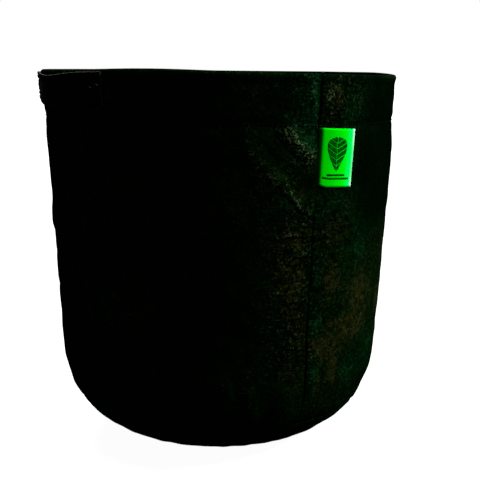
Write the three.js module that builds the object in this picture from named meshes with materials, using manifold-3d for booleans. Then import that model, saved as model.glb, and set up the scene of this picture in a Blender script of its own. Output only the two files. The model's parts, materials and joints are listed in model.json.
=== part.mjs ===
// A felt grow bag: a round plant pot sewn from thick black needle-punched felt, with two
// webbing handles at its rim and a ribbon label in its side seam.
// Millimetres, +Z up. The origin is the centre of the underside, and the side seam faces -Y.

import * as THREE from "three";
import { mergeVertices } from "three/addons/utils/BufferGeometryUtils.js";
import Module from "manifold-3d";

// ---- Driving dimensions -------------------------------------------------------------------

const HEIGHT = 308; // floor to the top of the rim
const RIM_RADIUS = 150; // outside of the rim
const FLAT_RADIUS = 60.5; // the part of the base that lies flat
const CORNER_RADIUS = 76; // the soft round corner between the base and the wall
const FELT = 2.5; // thickness of the felt
const CLEARANCE = 0.3; // between separate pieces that touch
const SEAM_GAP = 0.4; // between the two faces of a sewn seam

const HEM_DEPTH = 42; // how far down the inside the rim's hem is folded
const HEM_STITCH = 37.5; // the hem's line of stitches, below the rim
const HEM_GAP = 0.6; // between the hem's two layers
const FOLD_STEPS = 6; // around the outside of the rim's fold
const INNER_FOLD_STEPS = 2;
const STITCH_DENT = 0.9; // how deep a line of stitches pulls into the felt
const STITCH_DENT_REACH = 6; // half the width of that dent

const SEAM_ALLOWANCE = 10; // felt turned inward past a seam
const BASE_SEAM_ANGLE = THREE.MathUtils.degToRad(35); // below level, on the round corner
const THREAD = 0.8; // thickness of the sewing thread
const SEAM_STITCH = 7; // a seam's stitches, in from the outside of the felt
const CREASE_DEPTH = 1.1; // how far the felt rounds in where it meets at the base seam
const CREASE_WIDTH = 2.6; // how far from the base seam that rounding starts

const WEBBING_WIDTH = 25;
const WEBBING_THICKNESS = 2;
const WEBBING_DROP = 1.6; // the webbing's upper edge, below the rim
const WEBBING_OFF = 0.4; // between the webbing and the wall
const HANDLE_HALF_ANGLE = THREE.MathUtils.degToRad(25); // from the handle's middle to its end
const TAB_LENGTH = 22; // the sewn-down stretch at each end of a handle
const TAB_GAP = 1; // between a sewn tab and the free span

const BOX_STITCH_MARGIN = 3.2; // from the webbing's edges to the box of stitches
const STITCH_REACH = 20; // how far the flat drawing of a box of stitches is extruded

const LABEL_WIDTH = 33;
const LABEL_HEIGHT = 44;
const LABEL_DROP = 40; // the label's upper edge, below the rim
const LABEL_THICKNESS = 0.8; // two layers of folded ribbon
const LABEL_TAIL = 0.4; // the ribbon where it is pressed in the seam
const LABEL_START = 0.7; // from the middle of the seam to where the flap starts
const LABEL_OFFSET = 0.5; // between the label and the wall
const TAIL_ROOM = 1; // past the edges of the label's tail, between the seam's faces

const EDGE_BELOW_HEM = 4; // from the hem's raw edge down to the turned-in side edges
const OVERLAP = 0.5; // how far a piece that is joined on reaches into the other

const AROUND = 72; // steps around the bag
const CORNER_STEPS = 7; // steps along the round corner's full quarter turn
const PAST = 10; // how far a cutting solid reaches past what it cuts
const SLICE_REACH = 1.3 * RIM_RADIUS; // keeps a slice's straight outer edge outside the bag
const SAME_POINT = 1e-4; // vertices closer than this are one

const FELT_LOOK = { color: 0x0c100e, roughness: 0.95, metalness: 0 };
const THREAD_LOOK = { color: 0x16181a, roughness: 0.7, metalness: 0 };
const WEBBING_LOOK = { color: 0x0b0c0c, roughness: 0.8, metalness: 0 };
const LABEL_LOOK = { color: 0x19b83a, roughness: 0.45, metalness: 0 };

// ---- The wall's outline -------------------------------------------------------------------

// The wall leans out from the corner to the rim, tangent to the round corner.
const reachOut = RIM_RADIUS - FLAT_RADIUS;
const reachUp = HEIGHT - CORNER_RADIUS;
const LEAN =
  Math.acos(CORNER_RADIUS / Math.hypot(reachOut, reachUp)) - Math.atan2(reachUp, reachOut);
const WALL_LENGTH = (HEIGHT - CORNER_RADIUS * (1 - Math.sin(LEAN))) / Math.cos(LEAN);

// A point in the section: distance down the wall from the rim, and depth in from its outside.
function wallPoint(down, depth) {
  return new THREE.Vector2(
    RIM_RADIUS - down * Math.sin(LEAN) - depth * Math.cos(LEAN),
    HEIGHT - down * Math.cos(LEAN) + depth * Math.sin(LEAN),
  );
}

// A point on the round corner: its angle below level, and its depth in from the outside.
function cornerPoint(angle, depth) {
  const radius = CORNER_RADIUS - depth;
  return new THREE.Vector2(
    FLAT_RADIUS + radius * Math.cos(angle),
    CORNER_RADIUS - radius * Math.sin(angle),
  );
}

// A point beside the base seam: its distance from the seam towards the wall, and its depth.
function seamPoint(toWall, depth) {
  const point = cornerPoint(BASE_SEAM_ANGLE, depth);
  point.x += toWall * Math.sin(BASE_SEAM_ANGLE);
  point.y += toWall * Math.cos(BASE_SEAM_ANGLE);
  return point;
}

// Points along the round corner at one depth, from one angle to another.
function cornerArc(from, to, depth) {
  const steps = Math.max(2, Math.ceil((Math.abs(to - from) / (Math.PI / 2)) * CORNER_STEPS));
  const points = [];
  for (let i = 0; i <= steps; i++) {
    points.push(cornerPoint(from + ((to - from) * i) / steps, depth));
  }
  return points;
}

// ---- Solids -------------------------------------------------------------------------------

const ascending = (a, b) => a - b;

const wasm = await Module();
wasm.setup();

function toManifold(geometry) {
  const bare = geometry.clone();
  bare.deleteAttribute("normal");
  bare.deleteAttribute("uv");
  const merged = mergeVertices(bare, SAME_POINT);
  return new wasm.Manifold(
    new wasm.Mesh({
      numProp: 3,
      vertProperties: new Float32Array(merged.attributes.position.array),
      triVerts: new Uint32Array(merged.index.array),
    }),
  );
}

function toGeometry(manifold) {
  const { vertProperties, triVerts } = manifold.getMesh();
  const geometry = new THREE.BufferGeometry();
  geometry.setAttribute("position", new THREE.BufferAttribute(vertProperties, 3));
  geometry.setIndex(new THREE.BufferAttribute(triVerts, 1));
  geometry.computeVertexNormals();
  return geometry;
}

// A closed outline turned about Z. The outline runs up the outside and down the inside.
function turned(outline) {
  const lathe = new THREE.LatheGeometry([...outline, outline[0]], AROUND);
  return toManifold(lathe.rotateX(Math.PI / 2));
}

function box(low, high) {
  const size = new THREE.Vector3().subVectors(high, low);
  const middle = new THREE.Vector3().addVectors(low, high).multiplyScalar(0.5);
  const geometry = new THREE.BoxGeometry(size.x, size.y, size.z);
  return toManifold(geometry.translate(middle.x, middle.y, middle.z));
}

// A slab across the side seam, from one x to another, at the front of the bag.
function frontSlab(xLow, xHigh) {
  return box(
    new THREE.Vector3(xLow, -RIM_RADIUS - PAST, -PAST),
    new THREE.Vector3(xHigh, -FLAT_RADIUS, HEIGHT + PAST),
  );
}

// A slice of the bag, like a slice of cake, between two angles counted from +X towards +Y.
function slice(from, to) {
  const shape = new THREE.Shape([
    new THREE.Vector2(0, 0),
    new THREE.Vector2(SLICE_REACH * Math.cos(from), SLICE_REACH * Math.sin(from)),
    new THREE.Vector2(SLICE_REACH * Math.cos(to), SLICE_REACH * Math.sin(to)),
  ]);
  const geometry = new THREE.ExtrudeGeometry(shape, { depth: HEIGHT + PAST, bevelEnabled: false });
  return toManifold(geometry);
}

// A ring that follows the wall, between two depths and two distances down from the rim.
function wallBand(downFrom, downTo, depthFrom, depthTo) {
  return turned([
    wallPoint(downTo, depthFrom),
    wallPoint(downFrom, depthFrom),
    wallPoint(downFrom, depthTo),
    wallPoint(downTo, depthTo),
  ]);
}

// A square ring of thread about a point of the section.
function threadRing(centre, lean) {
  const outline = [0, 1, 2, 3].map((corner) => {
    const turn = lean + (corner * Math.PI) / 2 - Math.PI / 4;
    return new THREE.Vector2(Math.cos(turn), Math.sin(turn))
      .multiplyScalar(THREAD * Math.SQRT1_2)
      .add(centre);
  });
  return turned(outline);
}

// ---- The felt -----------------------------------------------------------------------------

// A dent in a face of the wall where a line of stitches pulls it in.
function stitchDent(down, depth, direction) {
  return [
    wallPoint(down + STITCH_DENT_REACH, depth),
    wallPoint(down, depth + direction * STITCH_DENT),
    wallPoint(down - STITCH_DENT_REACH, depth),
  ];
}

// The fold at the rim: a half turn about a point between the hem's two layers.
function rimFold(radius, steps) {
  const foldRadius = FELT + HEM_GAP / 2;
  const points = [];
  for (let i = 0; i <= steps; i++) {
    const turn = (Math.PI * i) / steps;
    points.push(
      wallPoint(foldRadius - radius * Math.sin(turn), foldRadius - radius * Math.cos(turn)),
    );
  }
  return points;
}

const hemInside = 2 * FELT + HEM_GAP; // depth of the hem's inner face
const seamFace = SEAM_GAP / 2; // from the middle of a seam to the felt
const seamBack = seamFace + FELT; // from the middle of a seam to the far face of the felt
const flangeEnd = FELT + SEAM_ALLOWANCE; // depth of the felt's turned-in edge
const flangeRound = 1; // the rounding where the felt turns inward
const flangeAngle = (seamBack + flangeRound) / (CORNER_RADIUS - FELT);
const creaseAngle = CREASE_WIDTH / CORNER_RADIUS;

function wallPanel() {
  const outside = [
    seamPoint(seamFace, CREASE_DEPTH),
    ...cornerArc(BASE_SEAM_ANGLE - creaseAngle, LEAN, 0),
    ...stitchDent(HEM_STITCH, 0, 1),
    ...rimFold(FELT + HEM_GAP / 2, FOLD_STEPS),
  ];
  const hem = [
    ...stitchDent(HEM_STITCH, hemInside, -1).reverse().slice(0, 2),
    wallPoint(HEM_DEPTH, hemInside - STITCH_DENT / 2),
    wallPoint(HEM_DEPTH, FELT + HEM_GAP),
    ...rimFold(HEM_GAP / 2, INNER_FOLD_STEPS).reverse(),
  ];
  const inside = [
    ...cornerArc(LEAN, BASE_SEAM_ANGLE - flangeAngle, FELT),
    seamPoint(seamBack, FELT + flangeRound),
    seamPoint(seamBack, flangeEnd),
    seamPoint(seamFace, flangeEnd),
  ];
  const shell = turned([...outside, ...hem, ...inside]);

  // The felt's two upright edges are turned inward and sewn face to face, with the label's
  // tail pressed between them.
  const edgeTop = HEM_DEPTH + EDGE_BELOW_HEM;
  const edgeRoot = FELT - OVERLAP;
  const edgeRing = turned([
    seamPoint(seamFace + OVERLAP, edgeRoot),
    ...cornerArc(BASE_SEAM_ANGLE - flangeAngle, LEAN, edgeRoot),
    wallPoint(edgeTop, edgeRoot),
    wallPoint(edgeTop, flangeEnd),
    ...cornerArc(LEAN, BASE_SEAM_ANGLE - flangeAngle, flangeEnd),
    seamPoint(seamFace + OVERLAP, flangeEnd),
  ]);
  const edges = edgeRing.intersect(frontSlab(-seamBack, seamBack));
  const seam = frontSlab(-seamFace, seamFace);
  return shell.add(edges).subtract(seam).subtract(labelPocket());
}

function baseDisc() {
  const rim = [
    seamPoint(-seamFace, CREASE_DEPTH),
    seamPoint(-seamFace, flangeEnd),
    seamPoint(-seamBack, flangeEnd),
    seamPoint(-seamBack, FELT + flangeRound),
  ];
  const inside = cornerArc(BASE_SEAM_ANGLE + flangeAngle, Math.PI / 2, FELT);
  const outside = cornerArc(Math.PI / 2, BASE_SEAM_ANGLE + creaseAngle, 0);
  const middleInside = new THREE.Vector2(0, FELT);
  const middleOutside = new THREE.Vector2(0, 0);
  return turned([middleOutside, ...outside, ...rim, ...inside, middleInside]);
}

// ---- Threads ------------------------------------------------------------------------------

const threadRest = CLEARANCE + THREAD / 2; // from a felt face to the middle of its thread

function hemThread(faceDepth, direction) {
  return threadRing(wallPoint(HEM_STITCH, faceDepth + direction * (STITCH_DENT - threadRest)), LEAN);
}

function sideSeamThread(side) {
  const far = SEAM_STITCH + THREAD;
  const top = HEM_DEPTH + EDGE_BELOW_HEM + THREAD;
  const lastAngle = BASE_SEAM_ANGLE - 2 * flangeAngle;
  const band = turned([
    ...cornerArc(lastAngle, LEAN, SEAM_STITCH),
    wallPoint(top, SEAM_STITCH),
    wallPoint(top, far),
    ...cornerArc(LEAN, lastAngle, far),
  ]);
  const face = seamBack + CLEARANCE;
  const faces = [side * face, side * (face + THREAD)].sort(ascending);
  return band.intersect(frontSlab(...faces));
}

// The base seam's thread stops at the side seam, where the felt's upright edges stand.
function baseSeamThread(side) {
  const offset = side * (seamBack + threadRest);
  const ring = threadRing(seamPoint(offset, SEAM_STITCH), Math.PI / 2 - BASE_SEAM_ANGLE);
  const keepClear = seamBack + 2 * CLEARANCE + THREAD;
  return ring.subtract(frontSlab(-keepClear, keepClear));
}

// ---- Handles ------------------------------------------------------------------------------

const tabAngle = TAB_LENGTH / RIM_RADIUS;
const spanHalfAngle = HANDLE_HALF_ANGLE - tabAngle - TAB_GAP / RIM_RADIUS;
const webbingOuter = -WEBBING_OFF - WEBBING_THICKNESS; // its outer face, as a depth in the wall

const webbingRing = wallBand(
  WEBBING_DROP,
  WEBBING_DROP + WEBBING_WIDTH,
  webbingOuter,
  -WEBBING_OFF,
);

// side is 1 for the handle at +X and -1 for the one at -X.
function towards(side, angle) {
  return side > 0 ? angle : Math.PI - angle;
}

function sideSlice(side, from, to) {
  const ends = [towards(side, from), towards(side, to)].sort(ascending);
  return slice(...ends);
}

function handleSpan(side) {
  return webbingRing.intersect(sideSlice(side, -spanHalfAngle, spanHalfAngle));
}

// end is -1 for the tab nearer the side seam and 1 for the one at the back.
function handleTab(side, end) {
  const inner = end * (HANDLE_HALF_ANGLE - tabAngle);
  return webbingRing.intersect(sideSlice(side, inner, end * HANDLE_HALF_ANGLE));
}

// A rectangle about the origin, as a shape to extrude or as a hole in one.
function rectangle(kind, halfWidth, halfHeight) {
  return new kind([
    new THREE.Vector2(-halfWidth, -halfHeight),
    new THREE.Vector2(halfWidth, -halfHeight),
    new THREE.Vector2(halfWidth, halfHeight),
    new THREE.Vector2(-halfWidth, halfHeight),
  ]);
}

// A box of stitches with a row along its middle, drawn flat and deep enough to cut through a
// curved layer.
function ruledBox(halfWidth, halfHeight, depth) {
  const frame = rectangle(THREE.Shape, halfWidth, halfHeight);
  frame.holes.push(rectangle(THREE.Path, halfWidth - THREAD, halfHeight - THREAD));
  const middleRow = new THREE.BoxGeometry(THREAD, 2 * halfHeight - THREAD, depth);
  return toManifold(new THREE.ExtrudeGeometry(frame, { depth, bevelEnabled: false })).add(
    toManifold(middleRow.translate(0, 0, depth / 2)),
  );
}

// The stitches through a tab, on the outside of the webbing.
function boxStitch(side, end) {
  const flat = ruledBox(
    WEBBING_WIDTH / 2 - BOX_STITCH_MARGIN,
    TAB_LENGTH / 2 - BOX_STITCH_MARGIN,
    STITCH_REACH,
  );
  const height = wallPoint(WEBBING_DROP + WEBBING_WIDTH / 2, 0).y;
  const place = new THREE.Matrix4()
    .makeRotationZ(towards(side, end * (HANDLE_HALF_ANGLE - tabAngle / 2)))
    .multiply(new THREE.Matrix4().makeTranslation(RIM_RADIUS - STITCH_REACH / 2, 0, height))
    .multiply(new THREE.Matrix4().makeRotationY(Math.PI / 2));
  const layer = wallBand(
    WEBBING_DROP,
    WEBBING_DROP + WEBBING_WIDTH,
    webbingOuter - CLEARANCE - THREAD,
    webbingOuter - CLEARANCE,
  );
  return layer.intersect(flat.transform(place.elements));
}

// ---- Label --------------------------------------------------------------------------------

const labelEnd = LABEL_DROP + LABEL_HEIGHT;

function labelFlap() {
  const outer = -LABEL_OFFSET - LABEL_THICKNESS;
  const band = wallBand(LABEL_DROP, labelEnd, outer, -LABEL_OFFSET);
  const start = -Math.PI / 2 + LABEL_START / RIM_RADIUS;
  return band.intersect(slice(start, start + LABEL_WIDTH / RIM_RADIUS));
}

// The tail starts below the hem's raw edge, and the hem holds the label's top corner.
function labelTail() {
  const band = wallBand(HEM_DEPTH + TAIL_ROOM, labelEnd, CLEARANCE, SEAM_ALLOWANCE);
  return band.intersect(frontSlab(-LABEL_TAIL / 2, LABEL_TAIL / 2));
}

// The room that the tail takes between the seam's two faces.
function labelPocket() {
  const band = wallBand(HEM_DEPTH, labelEnd + TAIL_ROOM, -TAIL_ROOM, flangeEnd + TAIL_ROOM);
  const reach = LABEL_TAIL / 2 + CLEARANCE;
  return band.intersect(frontSlab(-reach, reach));
}

// ---- The assembly -------------------------------------------------------------------------

const bag = new THREE.Group();

function addPiece(name, manifold, look) {
  const mesh = new THREE.Mesh(toGeometry(manifold), new THREE.MeshStandardMaterial(look));
  mesh.name = name;
  bag.add(mesh);
}

addPiece("wall_panel", wallPanel(), FELT_LOOK);
addPiece("base_disc", baseDisc(), FELT_LOOK);

addPiece("hem_thread_outer", hemThread(0, 1), THREAD_LOOK);
addPiece("hem_thread_inner", hemThread(hemInside, -1), THREAD_LOOK);
for (const [place, side] of [["left", -1], ["right", 1]]) {
  addPiece(`side_seam_thread_${place}`, sideSeamThread(side), THREAD_LOOK);
}
for (const [place, side] of [["upper", 1], ["lower", -1]]) {
  addPiece(`base_seam_thread_${place}`, baseSeamThread(side), THREAD_LOOK);
}

for (const [place, side] of [["left", -1], ["right", 1]]) {
  addPiece(`handle_${place}_span`, handleSpan(side), WEBBING_LOOK);
  for (const [where, end] of [["front", -1], ["rear", 1]]) {
    addPiece(`handle_${place}_tab_${where}`, handleTab(side, end), WEBBING_LOOK);
    addPiece(`box_stitch_${place}_${where}`, boxStitch(side, end), THREAD_LOOK);
  }
}

addPiece("label_tail", labelTail(), LABEL_LOOK);
addPiece("label_flap", labelFlap(), LABEL_LOOK);

export default bag;
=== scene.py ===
"""A felt grow bag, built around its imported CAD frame: near-black needle-punched felt with a
folded hem, webbing handles at the rim and a green ribbon label in the side seam."""

import json
import math

import bmesh
import bpy
import numpy as np
from mathutils import Matrix, Vector


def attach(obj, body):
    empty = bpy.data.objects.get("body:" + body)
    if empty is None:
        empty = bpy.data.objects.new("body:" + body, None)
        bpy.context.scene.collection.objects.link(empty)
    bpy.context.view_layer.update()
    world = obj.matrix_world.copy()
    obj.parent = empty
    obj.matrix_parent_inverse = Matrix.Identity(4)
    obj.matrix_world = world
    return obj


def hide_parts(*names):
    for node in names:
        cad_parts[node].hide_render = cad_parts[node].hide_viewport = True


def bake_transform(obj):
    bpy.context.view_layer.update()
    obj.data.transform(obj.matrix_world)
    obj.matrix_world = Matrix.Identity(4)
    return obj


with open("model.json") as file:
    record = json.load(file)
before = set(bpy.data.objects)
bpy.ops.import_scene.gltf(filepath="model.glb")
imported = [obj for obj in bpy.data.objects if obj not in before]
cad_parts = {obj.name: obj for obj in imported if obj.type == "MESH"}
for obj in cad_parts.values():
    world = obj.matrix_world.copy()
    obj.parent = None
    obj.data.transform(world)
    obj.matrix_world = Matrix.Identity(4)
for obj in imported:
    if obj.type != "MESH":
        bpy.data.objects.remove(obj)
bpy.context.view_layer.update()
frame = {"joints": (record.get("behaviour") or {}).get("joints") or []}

MM = 0.001
TAU = 2 * math.pi

# ---- Sizes, the same as the frame's ----

hinges = {joint["name"]: joint["pos_m"] for joint in frame["joints"]}
HANDLE_HINGE, _, HEIGHT = hinges["handle_right_lift"]  # the handle turns about the rim
RIM_RADIUS = 150 * MM
FELT = 2.5 * MM
FLAT_RADIUS = 60.5 * MM
CORNER_RADIUS = 76 * MM
BASE_SEAM_ANGLE = math.radians(35)
HEM_DEPTH = 42 * MM
HEM_GAP = 0.6 * MM
HEM_STITCH = 37.5 * MM
ALLOWANCE = 10 * MM

reach_out = RIM_RADIUS - FLAT_RADIUS
reach_up = HEIGHT - CORNER_RADIUS
LEAN = math.acos(CORNER_RADIUS / math.hypot(reach_out, reach_up)) - math.atan2(reach_up, reach_out)
WALL_LENGTH = (HEIGHT - CORNER_RADIUS * (1 - math.sin(LEAN))) / math.cos(LEAN)
SEAM_DOWN = WALL_LENGTH + CORNER_RADIUS * (BASE_SEAM_ANGLE - LEAN)
FLAT_START = WALL_LENGTH + CORNER_RADIUS * (math.pi / 2 - LEAN)


def add_object(name, data):
    """A new object with this data, in the scene."""
    thing = bpy.data.objects.new(name, data)
    bpy.context.scene.collection.objects.link(thing)
    return thing


def new_material(name):
    """A material whose nodes are still to be laid out."""
    material = bpy.data.materials.new(name)
    material.use_nodes = True
    return material


felt = new_material("felt")
webbing = new_material("webbing")
sealed = new_material("sealed_webbing")
thread = new_material("thread")
pale_glint_thread = new_material("pale_glint_thread")
label_cloth = new_material("label")
label_print = new_material("label_print")

# ---- Camera ----

CAMERA_AZIMUTH = math.radians(-29.7)
CAMERA_DISTANCE = 825 * MM
CAMERA_HEIGHT = 309.8 * MM
CAMERA_PITCH = math.radians(10.2)
CAMERA_YAW = math.radians(1.28)
CAMERA_ROLL = math.radians(0.69)
CAMERA_LENS = 71.4


def add_camera():
    data = bpy.data.cameras.new("camera")
    data.lens = CAMERA_LENS
    data.clip_start = 0.01
    camera = add_object("camera", data)
    sin_y, cos_y = math.sin(CAMERA_YAW), math.cos(CAMERA_YAW)
    sin_p, cos_p = math.sin(CAMERA_PITCH), math.cos(CAMERA_PITCH)
    sin_r, cos_r = math.sin(CAMERA_ROLL), math.cos(CAMERA_ROLL)
    level_right = Vector((cos_y, -sin_y, 0))
    level_up = Vector((sin_p * sin_y, sin_p * cos_y, cos_p))
    turn = Matrix.Rotation(CAMERA_AZIMUTH, 3, "Z")
    right = turn @ (cos_r * level_right + sin_r * level_up)
    up = turn @ (cos_r * level_up - sin_r * level_right)
    place = turn @ Vector((0, -CAMERA_DISTANCE, CAMERA_HEIGHT))
    axes = Matrix((right, up, right.cross(up))).transposed()
    camera.matrix_world = Matrix.Translation(place) @ axes.to_4x4()
    bpy.context.scene.camera = camera


add_camera()

# ---- Meshes ----


def add_mesh(name, vertices, faces, material):
    """A piece from a closed mesh, its faces turned to point out."""
    mesh = bpy.data.meshes.new(name)
    mesh.from_pydata(vertices.reshape(-1, 3).tolist(), [], faces)
    work = bmesh.new()
    work.from_mesh(mesh)
    if work.calc_volume(signed=True) < 0:
        bmesh.ops.reverse_faces(work, faces=work.faces)
        work.to_mesh(mesh)
    work.free()
    mesh.materials.append(material)
    mesh.shade_smooth()
    return add_object(name, mesh)


def strip_faces(rows, columns, wrap_rows=False):
    """Quads over closed rows of points, numbered row by row."""
    faces = []
    for i in range(rows if wrap_rows else rows - 1):
        here, below = i * columns, (i + 1) % rows * columns
        for j in range(columns):
            k = (j + 1) % columns
            faces.append((here + j, here + k, below + k, below + j))
    return faces


def tube_faces(rows, columns):
    """The faces of a closed tube: rows of points round it, with a cap at each end."""
    last = (rows - 1) * columns
    caps = [list(reversed(range(columns))), [last + j for j in range(columns)]]
    return strip_faces(rows, columns) + caps


def add_tube(name, loops, material):
    return add_mesh(name, loops, tube_faces(*loops.shape[:2]), material)


def unit(vectors):
    return vectors / np.linalg.norm(vectors, axis=-1, keepdims=True)


THREAD_SIDES = 7


def thread_loops(centre, aside, outward, radius):
    """Rings of points round each point of a thread's middle line."""
    turn = np.arange(THREAD_SIDES)[:, None] * TAU / THREAD_SIDES
    spokes = np.cos(turn) * aside[..., None, :] + np.sin(turn) * outward[..., None, :]
    return centre[..., None, :] + radius[:, None, None] * spokes


# ---- The wall's section ----

# Everything on the felt is placed by two distances: along, round the rim from the side seam
# and positive towards +X, and down, along the felt from the rim. Depth goes in from the
# outer face.


def section(down, depth):
    """Radius and height of a point of the wall, with its outward direction (radial, up)."""
    down, depth = np.broadcast_arrays(np.asarray(down, float), np.asarray(depth, float))
    angle = LEAN + np.clip((down - WALL_LENGTH) / CORNER_RADIUS, 0, math.pi / 2 - LEAN)
    straight = np.minimum(down, WALL_LENGTH)
    past_corner = np.maximum(down - FLAT_START, 0)
    out_r, out_z = np.cos(angle), -np.sin(angle)
    radius = FLAT_RADIUS + CORNER_RADIUS * out_r + (WALL_LENGTH - straight) * math.sin(LEAN)
    height = CORNER_RADIUS + CORNER_RADIUS * out_z + (WALL_LENGTH - straight) * math.cos(LEAN)
    return radius - past_corner - depth * out_r, height - depth * out_z, out_r, out_z


def point(angle, radius, height):
    """A point at an angle round the bag, counted from the side seam towards +X."""
    return np.stack(np.broadcast_arrays(radius * np.sin(angle), -radius * np.cos(angle), height), -1)


# ---- The felt's unevenness ----


def ripple(seed, shortest, longest, count=28, tall=1.0):
    """A smooth random surface of unit size, made of waves that meet round the bag."""
    rng = np.random.default_rng(seed)
    waves = []
    for _ in range(count):
        number = TAU / math.exp(rng.uniform(math.log(shortest), math.log(longest)))
        heading = rng.uniform(0, math.pi)
        turns = round(number * math.cos(heading) * RIM_RADIUS)
        waves.append((turns, number * math.sin(heading) / tall, rng.uniform(0, TAU)))

    def height(angle, down):
        total = sum(np.cos(m * angle + k * down + start) for m, k, start in waves)
        return total * math.sqrt(2 / count)

    return height


def bump(distance, reach):
    """1 at no distance, and fading out past its reach."""
    return np.exp(-((distance / reach) ** 2))


def ease(value, start, end):
    """From 0 at the start to 1 at the end, smoothly."""
    t = np.clip((value - start) / (end - start), 0, 1)
    return t * t * (3 - 2 * t)


def fade(value, start, end):
    """From 1 at the start to 0 at the end, smoothly."""
    return 1 - ease(value, start, end)


out_of_round = ripple(11, 320 * MM, 900 * MM, 10)
billow = ripple(12, 60 * MM, 150 * MM)
dimples = ripple(13, 13 * MM, 34 * MM, 60)
hem_pucker = ripple(14, 16 * MM, 34 * MM, 40)
gather = ripple(15, 18 * MM, 40 * MM, 40, tall=4)

# How far the rim stands above level, by the angle round the bag in degrees.
RIM_HEIGHTS = [
    (-180, 0), (-130, -0.4), (-80, -0.6), (-62, 0.7), (-48, 1.4), (-28, 0), (-14, -0.4),
    (-3, -1.2), (20, -1.8), (45, -1.9), (60, -1.5), (75, -0.2), (110, 0), (150, -0.3), (180, 0),
]
RIM_EASING = np.radians([-9, -6, -3, 3, 6, 9])  # the heights are averaged over these turns
# The underside's waves: radians in a metre, and the direction in radians.
BASE_WAVES = [(90, 0.3), (140, 1.7), (120, 2.9), (190, 4.2), (230, 5.4)]
BASE_UNEVEN = 0.7 * MM
# The belly of the bag leans over this way, in degrees, by this much.
BELLY_ANGLE, BELLY_LEAN = math.radians(60), 2.0 * MM
BELLY_DOWN, BELLY_REACH = 160 * MM, 78 * MM
CUFF_LEAN, CUFF_REACH = -1.1 * MM, 36 * MM
CUFF_PINCH = 1.0 * MM  # how far the cuff draws in below the rim
CUFF_SWELL, SWELL_REACH = 0.5 * MM, 12 * MM  # half way down the cuff
OVAL, BILLOW, DIMPLE = 0.5 * MM, 0.55 * MM, 0.13 * MM
HEM_DENT, DENT_VARIES, DENT_REACH = 1.0 * MM, 0.25 * MM, 3.4 * MM  # where it is stitched
HEM_PUCKER, HEM_PUCKER_REACH = 0.22 * MM, 15 * MM
GATHER, GATHER_REACH = 0.45 * MM, 26 * MM  # at the base seam
SEAM_DIP, SEAM_DIP_REACH = 0.5 * MM, 7 * MM  # along the side seam

# A fold in the felt: where it starts and ends (along, down), its reach and height, and how strongly its
# crest is painted with a highlight.
FOLDS = [
    ((-30, 40), (-5, 65), 6.5, 1.2, 0.75),
    ((-41, 72), (-28, 84), 4.5, 0.8, 0.40),
    ((-29, 83), (-11, 101), 2.6, 0.7, 0.50),
    ((-12, 101), (-2, 103), 1.6, 0.6, 0.60),
    ((-36, 120), (-27, 122), 1.5, 0.6, 0.60),
    ((-28, 119), (-13, 118), 1.6, 0.7, 0.60),
    ((-21, 136), (0, 133), 1.7, 0.7, 0.50),
    ((-25, 150), (-6, 153), 1.8, 0.6, 0.25),
    ((-22, 170), (-5, 168), 1.8, 0.6, 0.25),
    ((-10, 3), (-5, 33), 2.8, 0.4, 0.30),
    ((6, 18), (18, 2), 3.4, 0.3, 0.60),
    ((80, 1), (134, 2), 2.2, 0.3, 0.45),
    ((-60, 52), (-34, 92), 9.0, 0.8, 0),
    ((14, 96), (46, 128), 8.0, 0.6, 0),
    ((-57, 226), (-47, 272), 5.0, 0.3, 0),
    ((-70, 236), (-62, 274), 6.0, 0.25, 0),
]
OTHER_FOLDS = 22  # on the rest of the wall, at random


def other_folds():
    """Soft creases round the rest of the wall."""
    rng = np.random.default_rng(22)
    found = []
    for _ in range(OTHER_FOLDS):
        along, down = rng.uniform(175, 770), rng.uniform(55, 235)
        reach_along, reach_down = rng.uniform(-26, 26), rng.uniform(10, 42)
        found.append((
            (along, down), (along + reach_along, down + reach_down),
            rng.uniform(3.5, 9), rng.uniform(0.5, 1.3), rng.uniform(0, 0.35),
        ))
    return found


FOLDS += other_folds()
PUCKER_FIRST, PUCKER_LAST, PUCKER_STEP = 47 * MM, 240 * MM, 4.2 * MM
PUCKER_MOST, PUCKER_SPREAD = 155 * MM, 60 * MM  # where they are strongest, and how far
PUCKER_LEFT, PUCKER_RIGHT = 46 * MM, 24 * MM  # the longest on each side of the seam


def seam_puckers(along, down):
    """Short ridges that run out from the side seam, where its thread draws up the felt."""
    rng = np.random.default_rng(21)
    total = np.zeros(np.broadcast_shapes(along.shape, down.shape))
    for side, longest in ((-1, PUCKER_LEFT), (1, PUCKER_RIGHT)):
        centre = PUCKER_FIRST
        while centre < PUCKER_LAST:
            strength = 0.3 + 0.7 * bump(centre - PUCKER_MOST, PUCKER_SPREAD)
            length = longest * rng.uniform(0.35, 1) * strength
            slant = rng.uniform(-0.28, 0.28)
            height = rng.uniform(0.4, 1.0) * MM * strength
            reach = rng.uniform(1.4, 2.3) * MM
            outward = along * side
            near = ease(outward, 0, 2.5 * MM) * fade(outward, 0.3 * length, length)
            total += height * near * bump(down - centre - slant * outward, reach)
            centre += PUCKER_STEP * rng.uniform(0.7, 1.4)
    return total


def short_way(distance):
    """A distance round the rim, taken the short way."""
    return np.mod(distance + math.pi * RIM_RADIUS, TAU * RIM_RADIUS) - math.pi * RIM_RADIUS


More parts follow.
